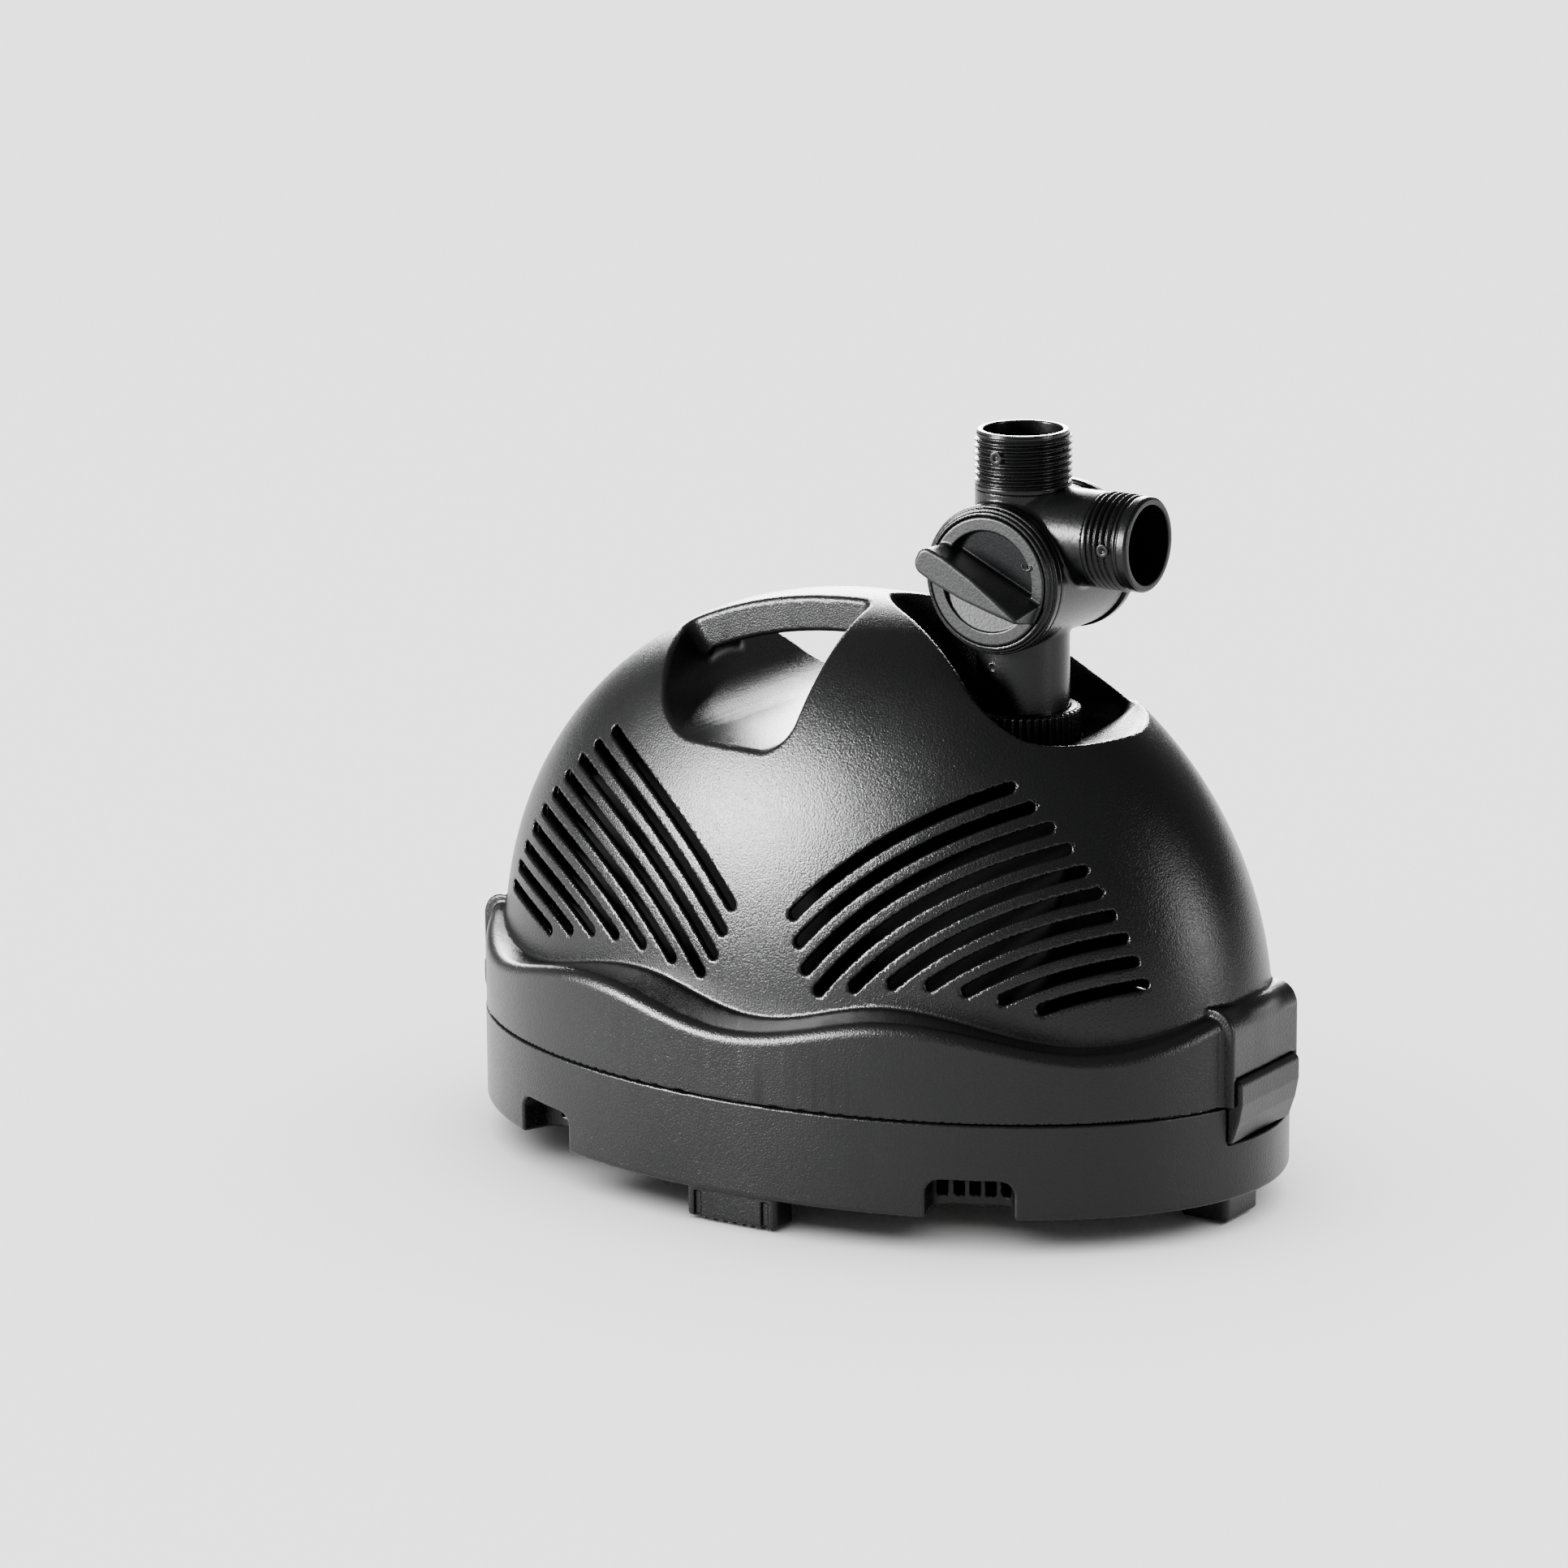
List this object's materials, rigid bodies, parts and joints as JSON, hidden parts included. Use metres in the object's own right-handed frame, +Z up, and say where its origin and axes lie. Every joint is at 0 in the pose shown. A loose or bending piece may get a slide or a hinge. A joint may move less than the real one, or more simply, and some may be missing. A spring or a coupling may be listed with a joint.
{
  "type": "fountain submersible pump",
  "caption": "Submersible fountain pump in a domed strainer housing with a carrying handle and a two-way diverter valve on its outlet.",
  "frame": {"origin": "on the ground under the middle of the housing", "axes": "+Z up, +X along the housing towards the valve end, -Y towards the long side the dial faces"},
  "size_m": [0.309, 0.201, 0.2645],
  "materials": {
    "shell_black": "injection-moulded black, fine even spark-eroded grain, satin",
    "valve_black": "smoother black moulding, semi-gloss",
    "dial_black": "smooth satin black moulding",
    "inner_black": "plain black moulding",
    "rubber_black": "soft matt black",
    "potting_resin": "cast resin, slightly glossy",
    "core_steel": "stacked sheet laminations, oiled",
    "enamelled_copper": "enamelled winding wire",
    "shaft_ceramic": "ground white ceramic",
    "magnet_ferrite": "sintered magnet, dark grey",
    "screw_steel": "stainless steel"
  },
  "bodies": {
    "base": {"lower_shell": "shell_black", "cable_grommet": "rubber_black", "foot_pad_front": "rubber_black", "foot_pad_rear": "rubber_black", "foot_pad_left": "rubber_black", "foot_pad_right": "rubber_black", "motor_housing": "inner_black", "potting_block": "potting_resin", "stator_core": "core_steel", "coil_bobbin_front": "inner_black", "coil_bobbin_rear": "inner_black", "coil_winding_front": "enamelled_copper", "coil_winding_rear": "enamelled_copper", "cable_gland": "inner_black", "gland_nut": "inner_black", "rotor_can": "inner_black", "rotor_shaft": "shaft_ceramic", "pump_chamber": "inner_black", "chamber_seal": "rubber_black", "chamber_cover": "inner_black", "cooling_cowl": "inner_black", "cover_screw_1": "screw_steel", "cover_screw_2": "screw_steel", "cover_screw_3": "screw_steel", "cover_screw_4": "screw_steel", "motor_screw_1": "screw_steel", "motor_screw_2": "screw_steel", "motor_screw_3": "screw_steel", "motor_screw_4": "screw_steel", "rubber_mount_1": "rubber_black", "rubber_mount_2": "rubber_black", "rubber_mount_3": "rubber_black", "rubber_mount_4": "rubber_black"},
    "top_shell": {"upper_shell": "shell_black"},
    "valve": {"valve_body": "valve_black", "valve_bezel": "valve_black", "valve_rear_cap": "valve_black", "nut_gasket": "rubber_black"},
    "knob": {"valve_knob": "dial_black", "valve_plug": "inner_black"},
    "nut": {"union_nut": "valve_black"},
    "latch_r": {"latch_right": "shell_black"},
    "latch_l": {"latch_left": "shell_black"},
    "rotor": {"magnet_rotor": "magnet_ferrite", "rear_bush": "potting_resin", "front_bush": "potting_resin", "impeller": "inner_black"}
  },
  "joints": [
    {"name": "shell_lift", "type": "slide", "parent": "base", "child": "top_shell", "axis": [0, 0, 1], "range_m": [0, 0.12]},
    {"name": "valve_swivel", "type": "hinge", "parent": "top_shell", "child": "valve", "pos_m": [0.0575, 0, 0.165], "axis": [0, 0, 1], "range_deg": [-45, 22]},
    {"name": "knob_turn", "type": "hinge", "parent": "valve", "child": "knob", "pos_m": [0.0575, 0, 0.216], "axis": [0, -1, 0], "range_deg": [-64, 26]},
    {"name": "union_nut_turn", "type": "hinge", "parent": "valve", "child": "nut", "pos_m": [0.0575, 0, 0.162], "axis": [0, 0, 1], "range_deg": [0, 360]},
    {"name": "latch_right_flex", "type": "hinge", "parent": "base", "child": "latch_r", "pos_m": [0.1498, 0, 0.033], "axis": [0, 1, 0], "range_deg": [0, 10], "stiffness_Nm_per_rad": 0.3},
    {"name": "latch_left_flex", "type": "hinge", "parent": "base", "child": "latch_l", "pos_m": [-0.1498, 0, 0.033], "axis": [0, -1, 0], "range_deg": [0, 10], "stiffness_Nm_per_rad": 0.3},
    {"name": "rotor_spin", "type": "hinge", "parent": "base", "child": "rotor", "pos_m": [0, 0, 0.066], "axis": [1, 0, 0], "continuous": true}
  ]
}
